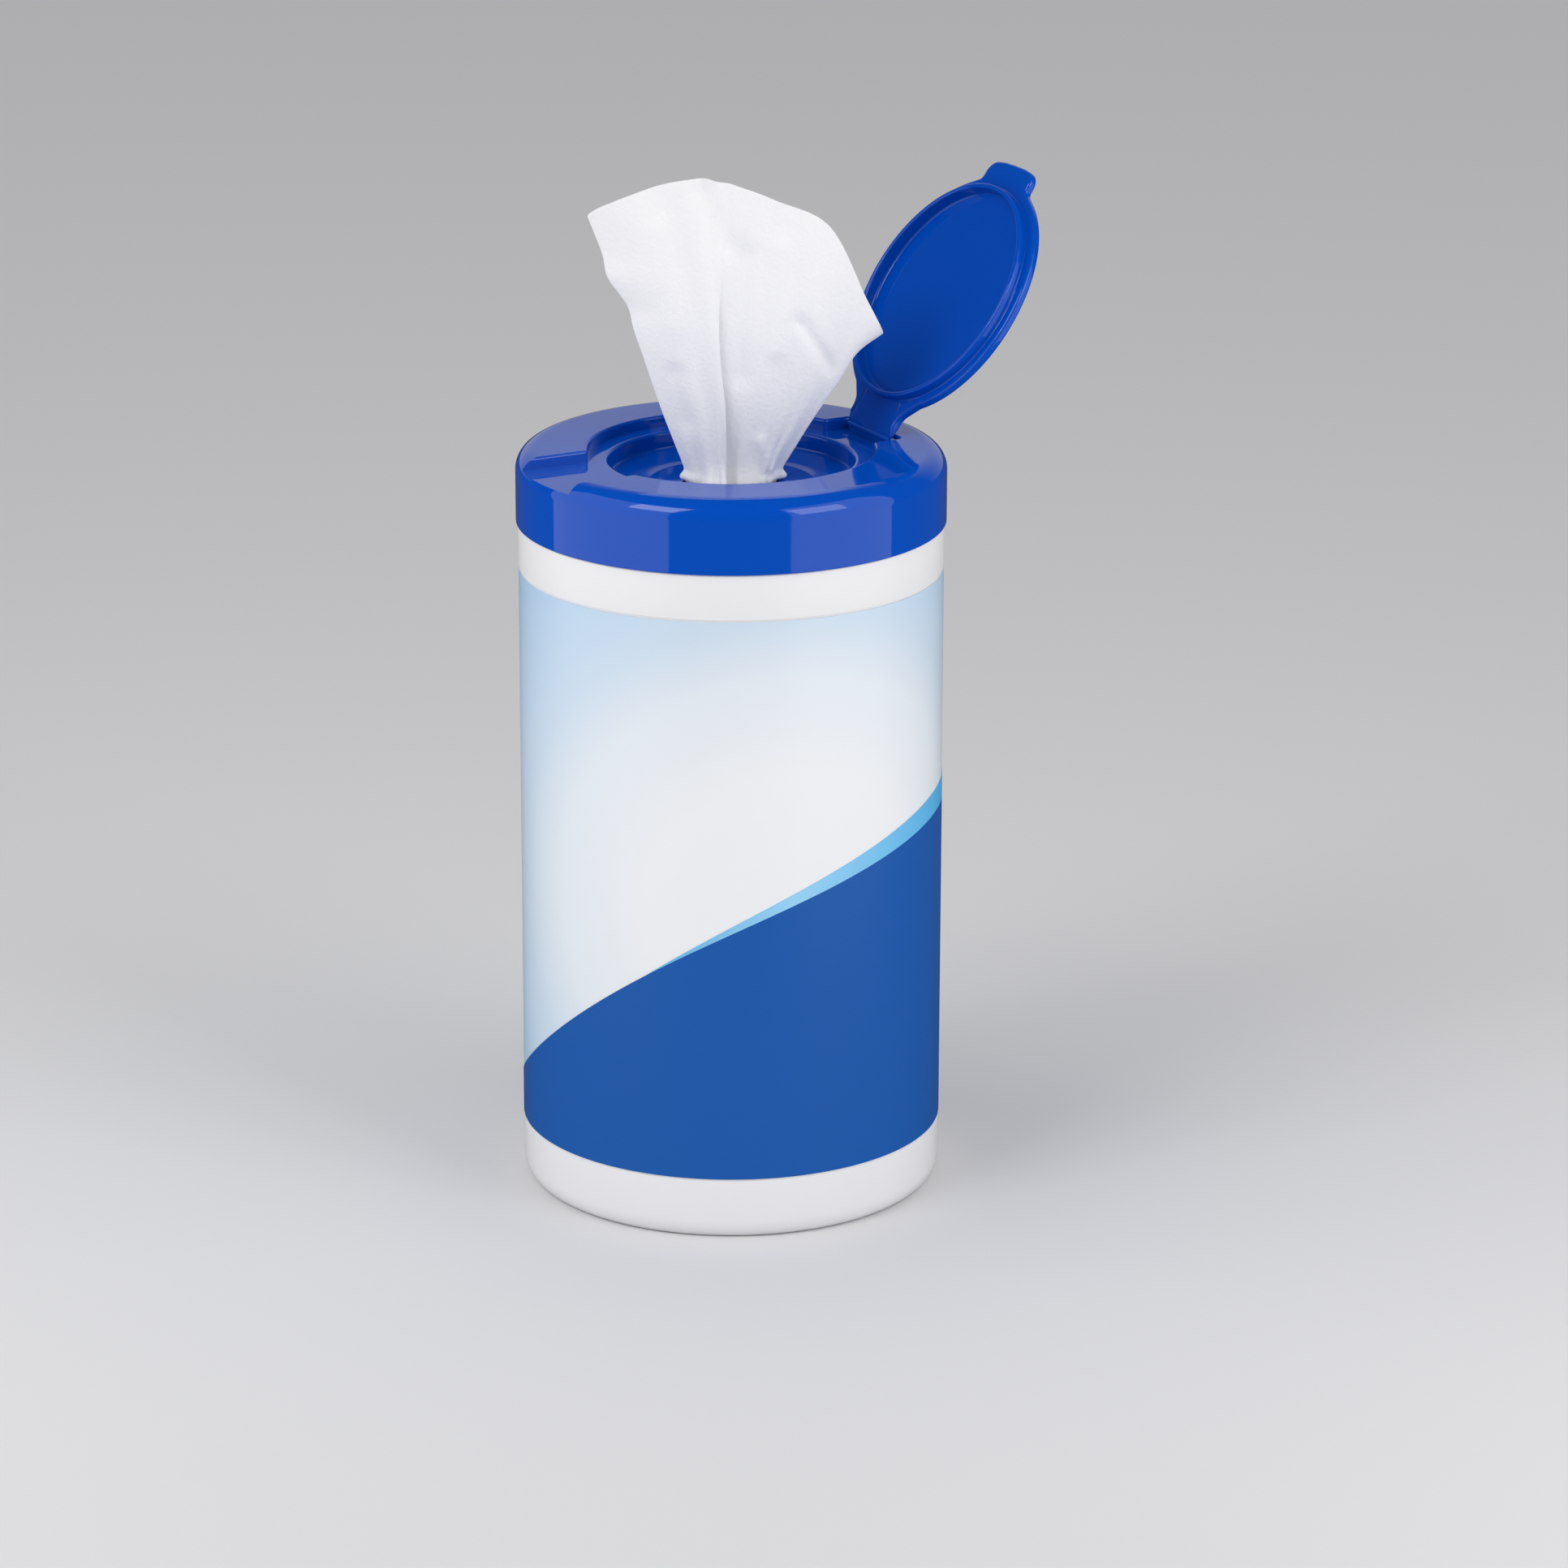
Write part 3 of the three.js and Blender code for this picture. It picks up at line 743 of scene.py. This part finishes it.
def wound_roll(material):
    """The coreless roll, with the edges of its turns standing as fine rings on its end."""
    pitch = (roll_radius - core_radius) / roll_turns
    steps = np.arange(roll_turns * 4 + 1)
    radii = roll_radius - steps * pitch / 4
    # Each turn's edge stands a quarter of a millimetre proud, on a slow swell below the top.
    crown = 0.25 * np.abs(np.sin(steps * math.pi / 4)) + 0.2 * np.sin(radii * 0.9) - 0.45
    end = [(r, roll_top + z) for r, z in zip(radii, crown)]
    foot = low("wipe_roll")[2]
    shoulder = roll_top - roll_shoulder
    sides = [(core_radius, foot), (roll_radius, foot), (roll_radius, shoulder)]
    profile = sides + end + [(core_radius, shoulder)]
    skin = lofted(turned(profile, around=180), closed=True)
    made = piece("wound_roll", *skin, material, "canister")
    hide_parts("wipe_roll")


# Columns of the pulled wipe, each from the hole's throat to the free edge as x to the viewer's
# right, y away and the height above the hole's plate. A column takes two lines.
wipe_columns = [
    # The back left flap, to the left fold
    [[2.5, 1, -2], [2.6, 1.4, 3], [1, 4.5, 17],
     [-4, 7.5, 33], [-8.5, 10, 47], [-12, 12, 58]],
    [[-4, 1.2, -2], [-4.2, 1.8, 3], [-8, 5.5, 17],
     [-13.5, 8, 34], [-19.5, 9.8, 49], [-24, 11, 61]],
    [[-9.4, 0.6, -2], [-11, 0.8, 3], [-17, 2.2, 18.5],
     [-23.3, 4, 36.5], [-29.5, 5, 52], [-34.7, 5, 64.8]],
    # The front left face, to the crease that laps over the right face
    [[-6.6, -2.6, -2], [-7, -2.8, 3], [-10.5, -2.6, 19],
     [-14, -1.6, 37], [-17, 0, 56], [-20, 1, 72.2]],
    [[-2.6, -4.6, -2], [-3.2, -4.8, 3], [-4.4, -5.2, 19],
     [-7, -4.4, 37], [-8.6, -2.2, 57], [-9, -0.8, 75]],
    [[-0.2, -4.8, -2], [-1.4, -5.2, 3], [-1.8, -6, 19],
     [-3.2, -5.4, 36.5], [-3.4, -3.2, 57], [-3.6, -1.8, 74.6]],
    # The front right face, to the right fold
    [[-2.4, -2, -2], [-2.6, -2.6, 3], [-3, -3.6, 19],
     [-3.4, -3.8, 36.5], [0.2, -3, 57], [1.8, -2, 73.4]],
    [[2, -2.4, -2], [1.8, -3, 3], [3.2, -4.2, 19],
     [5, -4, 36], [8, -2.2, 55], [10.6, -1, 69.8]],
    [[6.4, -2.2, -2], [6.6, -2.6, 3], [11, -3, 19],
     [15.6, -2.8, 35.5], [20.6, -1.4, 52], [23.6, -0.4, 63.4]],
    [[8.6, -0.8, -2], [9.6, -1, 3], [17.4, -0.6, 17.5],
     [23.6, 0, 29], [28.6, 0.8, 39], [32.6, 1.6, 45.4]],
    [[9.6, 1.8, -2], [12, 1.8, 3], [18.2, 2.8, 12.6],
     [24.8, 4, 22.8], [29.8, 5, 31], [36.4, 6, 35.8]],
    # The back right flap
    [[5, 3.6, -2], [5.2, 4.4, 3], [11, 8, 14],
     [17.5, 10.5, 25.5], [23.5, 12.4, 36], [29, 13.6, 42]],
    [[-2.4, 3.4, -2], [-2.2, 4.6, 3], [3, 9.4, 16],
     [8, 12.8, 29], [13.5, 15, 41], [18, 16.4, 48]],
]

# The share of the way across at which the left fold lies, and where the front faces fade in and
# out as (start, end)
left_fold = 0.167
front_starts = (0.18, 0.24)
front_ends = (0.74, 0.8)

# The left fold's small jog, as (shift to the right, height)
left_jogs = [(0.9, 42), (-1.1, 50)]

# Pleats from the gathering: waves across the sheet, their size, and their share just above the
# hole and out of sight below it
pleat_waves = (9, 13, 19, 27)
pleat_size = 5.2
pleats_above = 0.24
pleats_below = 2.9
crumple_waves = 14
crumple_size = 0.09

# Soft wrinkles on the wipe's front: from x and height to x and height, half width, and rise
# towards the viewer, below zero for a hollow
soft_wrinkles = [
    (-6, 72, -1, 60, 3.2, -0.9),
    (12, 58, 11, 34, 3.0, 0.7),
    (17, 40, 25, 27, 1.7, -0.8),
    (-13, 27, -11, 16, 3.0, -0.8),
    (7, 11, 9, 4, 1.5, 0.6),
    (3, 56, 2, 28, 3.5, -0.9),
    (-17, 62, -14, 40, 4.0, 0.5),
]


def through(points, shares):
    """Smooth curves through points along their first axis, read at shares from 0 to 1."""
    place = np.asarray(shares) * (len(points) - 1)
    first = np.clip(place.astype(int), 0, len(points) - 2)
    t = (place - first).reshape((-1,) + (1,) * (points.ndim - 1))
    slopes = np.gradient(points, axis=0)
    a, b = points[first], points[first + 1]
    da, db = slopes[first], slopes[first + 1]
    return (
        (2 * t**3 - 3 * t**2 + 1) * a
        + (t**3 - 2 * t**2 + t) * da
        + (3 * t**2 - 2 * t**3) * b
        + (t**3 - t**2) * db
    )


def smooth_step(value, start, end):
    """Rises smoothly from 0 at start to 1 at end."""
    t = np.clip((value - start) / (end - start), 0, 1)
    return t * t * (3 - 2 * t)


def bell(value, centre, width):
    """A smooth bump: 1 at the centre, and about a third of that a width away."""
    return np.exp(-(((value - centre) / width) ** 2))


def wipe_fan(across, rows=130):
    """The folded fan above the hole, as rows of points at shares of the way across."""
    columns = np.array(wipe_columns, float).transpose(1, 0, 2)
    fan = through(columns, np.linspace(0, 1, rows) ** 1.05).transpose(1, 0, 2)
    fan = through(fan, across).transpose(1, 0, 2)
    fan[:, :, 2] += plate
    height = fan[:, :, 2] - plate
    for shift, jog_height in left_jogs:
        fan[:, :, 0] += shift * bell(height, jog_height, 3.5) * bell(across, left_fold, 0.07)
    return fan


def wipe_tail(throat, rows=46):
    """The sheet below the hole: gathered further, turned, and drawn down into the roll's core."""
    down = np.linspace(1, 0, rows, endpoint=False)[:, None]
    ease = np.clip(down * 3, 0, 1)
    size = 1 - tail_gather * ease * (2 - ease)
    turn = tail_turn * down
    return np.stack(
        [
            size * (throat[:, 0] * np.cos(turn) - throat[:, 1] * np.sin(turn)),
            size * (throat[:, 0] * np.sin(turn) + throat[:, 1] * np.cos(turn)),
            throat[:, 2] - tail_depth * down,
        ],
        axis=2,
    )


def wrinkle_rise(x, height):
    """How far the soft wrinkles move a point of the wipe's front, from its place across and up."""
    rise = np.zeros_like(height)
    for x0, z0, x1, z1, half_width, peak in soft_wrinkles:
        length = math.hypot(x1 - x0, z1 - z0)
        along = ((x - x0) * (x1 - x0) + (height - z0) * (z1 - z0)) / length
        aside = ((x - x0) * (z1 - z0) - (height - z0) * (x1 - x0)) / length
        beyond = np.maximum(0, np.maximum(-along, along - length))
        rise += peak * np.exp(-(aside**2 + beyond**2) / half_width**2)
    return rise


def cloth_relief(across, x, height):
    """How far the cloth stands off its smooth sheet: pleats at the hole, fine crumples above it,
    and the front's soft wrinkles."""
    generator = np.random.default_rng(5)
    pleats = np.zeros_like(height)
    for waves in pleat_waves:
        phase, drift = generator.uniform(0, 2 * math.pi, 2)
        sway = 0.4 * np.sin(height / 9 + drift)
        pleats += np.sin(2 * math.pi * waves * across + phase + sway) / waves
    pleats *= pleat_size
    crumple = np.zeros_like(height)
    # Each crumple has a few waves across the sheet, and leans as it rises.
    for _ in range(crumple_waves):
        waves = generator.uniform(3, 12)
        rise = generator.uniform(14, 60)
        phase, lean = generator.uniform(0, 2 * math.pi, 2)
        crumple += np.sin(2 * math.pi * waves * across + height / rise * lean + phase)
    crumple *= crumple_size
    bunched = 1 - smooth_step(height, 0, 34)
    hidden = 1 - smooth_step(height, -16, -3)
    loose = smooth_step(height, 0, 25)
    front = smooth_step(across, *front_starts) * (1 - smooth_step(across, *front_ends))
    relief = pleats * (pleats_above * bunched + pleats_below * hidden) + crumple * loose
    return relief + front * wrinkle_rise(x, height)


def held_by_hole(sheet, height):
    """The sheet with its throat filled out, spread over the hole's lip, and kept inside the
    hole."""
    sheet[:, :, 1] *= 1 + throat_fill * bell(height, -2, 4.5)
    lip = bell(height, 0.9, 1.3) * np.abs(sheet[:, :, 0]) / throat_half_width
    sheet[:, :, 0] *= 1 + lip_spread * lip
    reach = np.hypot(sheet[:, :, 0], sheet[:, :, 1])
    in_hole = 1 - smooth_step(height, 0.1, 0.7)
    limit = hole_radius - hole_clearance
    shrink = np.where(reach > limit, limit / np.maximum(reach, 1e-6), 1)
    sheet[:, :, :2] *= (1 + (shrink - 1) * in_hole)[:, :, None]
    return sheet


def sheet_normals(sheet):
    """Unit normals of a grid of points."""
    normal = np.cross(np.gradient(sheet, axis=1), np.gradient(sheet, axis=0))
    return normal / np.linalg.norm(normal, axis=2)[:, :, None]


def thick_sheet(name, sheet, material):
    """A closed thin cloth either side of a grid of points."""
    rows, count = sheet.shape[:2]
    shift = sheet_normals(sheet) * sheet_thickness / 2
    points = np.concatenate([(sheet - shift).reshape(-1, 3), (sheet + shift).reshape(-1, 3)])
    other = rows * count
    index = np.arange(other).reshape(rows, count)
    a, b = index[:-1, :-1].ravel(), index[:-1, 1:].ravel()
    c, d = index[1:, 1:].ravel(), index[1:, :-1].ravel()
    faces = np.column_stack([a, b, c, d]).tolist()
    faces += (np.column_stack([d, c, b, a]) + other).tolist()
    rim = [*index[0, :-1], *index[:-1, -1], *index[-1, :0:-1], *index[:0:-1, 0]]
    for here, there in zip(rim, rim[1:] + rim[:1]):
        faces.append([int(there), int(here), int(here) + other, int(there) + other])
    return piece(name, points, faces, material)


def pulled_wipe(material):
    """The pulled sheet: a folded fan above the hole, bunched in the hole, and a pleated tail in
    the roll's core. It is one thin closed cloth with creases that run up from the hole."""
    across = np.linspace(0, 1, 230)
    fan = wipe_fan(across)
    sheet = np.concatenate([wipe_tail(fan[0]), fan])
    height = sheet[:, :, 2] - plate
    relief = cloth_relief(across[None, :], sheet[:, :, 0], height)
    sheet = sheet + sheet_normals(sheet) * relief[:, :, None]
    made = thick_sheet("drawn_wipe", held_by_hole(sheet, height), material)
    made.matrix_world = Matrix.Rotation(-art_turn, 4, "Z")
    bpy.context.view_layer.update()
    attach(made, "cap")
    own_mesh(made)
    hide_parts("pulled_wipe")


# The studio. Its lengths are in metres.

# Soft boxes, as name, turn from the camera's side in degrees, distance, height, width, tall,
# radiance and the height aimed at: two standing ones that draw the bands on the cap's side, a
# high key from the left and a weaker fill from the right
soft_boxes = [
    ("left_box", -68, 0.42, 0.35, 0.62, 0.70, 0.8, 0.35),
    ("right_box", 60, 0.42, 0.35, 0.485, 0.70, 0.85, 0.35),
    ("high_key", -46, 2.2, 2.2, 1.3, 1.3, 3.6, 0.15),
    ("high_fill", 50, 2.2, 1.4, 1.2, 1.2, 2.5, 0.15),
]
camera_place = (-0.6703, -1.2607, 0.5554)
camera_pitch = math.radians(90 - 17.682)
camera_lens = 139.05
camera_shift = 0.0336
floor_half = 8.0
room_light = 0.52
# The room as mirror reflections see it: dark in front and beside, pale behind the pack
mirrored_dark = 0.04
mirrored_pale = 0.5
mirrored_fade = (0.62, 0.95)


def photo_camera():
    """The camera at the photograph's viewing angle, for a square image."""
    camera = bpy.data.cameras.new("photo_camera")
    camera.sensor_width = 36
    camera.lens = camera_lens
    camera.shift_x = camera_shift
    camera.clip_start = 0.05
    made = bpy.data.objects.new("photo_camera", camera)
    made.location = camera_place
    made.rotation_euler = (camera_pitch, 0, -art_turn)
    bpy.context.scene.collection.objects.link(made)
    bpy.context.scene.camera = made


def soft_box(name, turn, distance, height, width, tall, radiance, aim_height):
    """A rectangular soft box that faces the pack, turned from the camera's side by some degrees."""
    light = bpy.data.lights.new(name, "AREA")
    light.shape = "RECTANGLE"
    light.size = width
    light.size_y = tall
    light.energy = radiance * math.pi * width * tall
    angle = math.radians(turn) - art_turn
    place = Vector((distance * math.sin(angle), -distance * math.cos(angle), height))
    aim = Vector((0, 0, aim_height)) - place
    made = bpy.data.objects.new(name, light)
    made.location = place
    made.rotation_euler = aim.to_track_quat("-Z", "Y").to_euler()
    made.visible_camera = False
    bpy.context.scene.collection.objects.link(made)


def pale_floor(material):
    """One wide flat floor."""
    half = floor_half
    corners = [(-half, -half, 0), (half, -half, 0), (half, half, 0), (-half, half, 0)]
    mesh = bpy.data.meshes.new("floor")
    mesh.from_pydata(corners, [], [(0, 1, 2, 3)])
    mesh.materials.append(material)
    floor = bpy.data.objects.new("floor", mesh)
    bpy.context.scene.collection.objects.link(floor)


def pale_room():
    """An even pale room. Mirror reflections see it dark, but for its part behind the pack."""
    world = bpy.data.worlds.new("room")
    world.use_nodes = True
    tree = world.node_tree
    tree.nodes.clear()
    way = add_node(tree, "ShaderNodeTexCoord").outputs["Generated"]
    beyond = [math.sin(art_turn), math.cos(art_turn), 0]
    behind = add_node(
        tree, "ShaderNodeVectorMath", {0: way, 1: beyond}, operation="DOT_PRODUCT"
    ).outputs["Value"]
    start, end = mirrored_fade
    mirrored = add_node(
        tree,
        "ShaderNodeMapRange",
        {
            "Value": behind,
            "From Min": start,
            "From Max": end,
            "To Min": mirrored_dark,
            "To Max": mirrored_pale,
        },
    ).outputs["Result"]
    glossy = add_node(tree, "ShaderNodeLightPath").outputs["Is Glossy Ray"]
    strength = add_node(tree, "ShaderNodeMix", {0: glossy, 2: room_light, 3: mirrored})
    room = add_node(
        tree,
        "ShaderNodeBackground",
        {"Color": linear("#FFFFFF"), "Strength": strength.outputs[0]},
    )
    add_node(tree, "ShaderNodeOutputWorld", {"Surface": room.outputs[0]})
    bpy.context.scene.world = world


def studio():
    """A pale floor, the soft boxes and a pale room."""
    pale_floor(stage_floor())
    for box in soft_boxes:
        soft_box(*box)
    pale_room()
    bpy.context.scene.view_settings.view_transform = "Standard"


photo_camera()
studio()
blue = blue_polypropylene()
bottle(white_hdpe())
dark_film = printed_film("dark_wave_film", "#0D58AC")[0]
wrapped_label(label_film(), dark_film, stripe_film())
cap_shell(blue)
hinge_land(blue)
flip_lid(blue)
wound_roll(nonwoven("wound_nonwoven", "#E9E9EA"))
pulled_wipe(nonwoven("drawn_nonwoven", "#EFEFF0"))
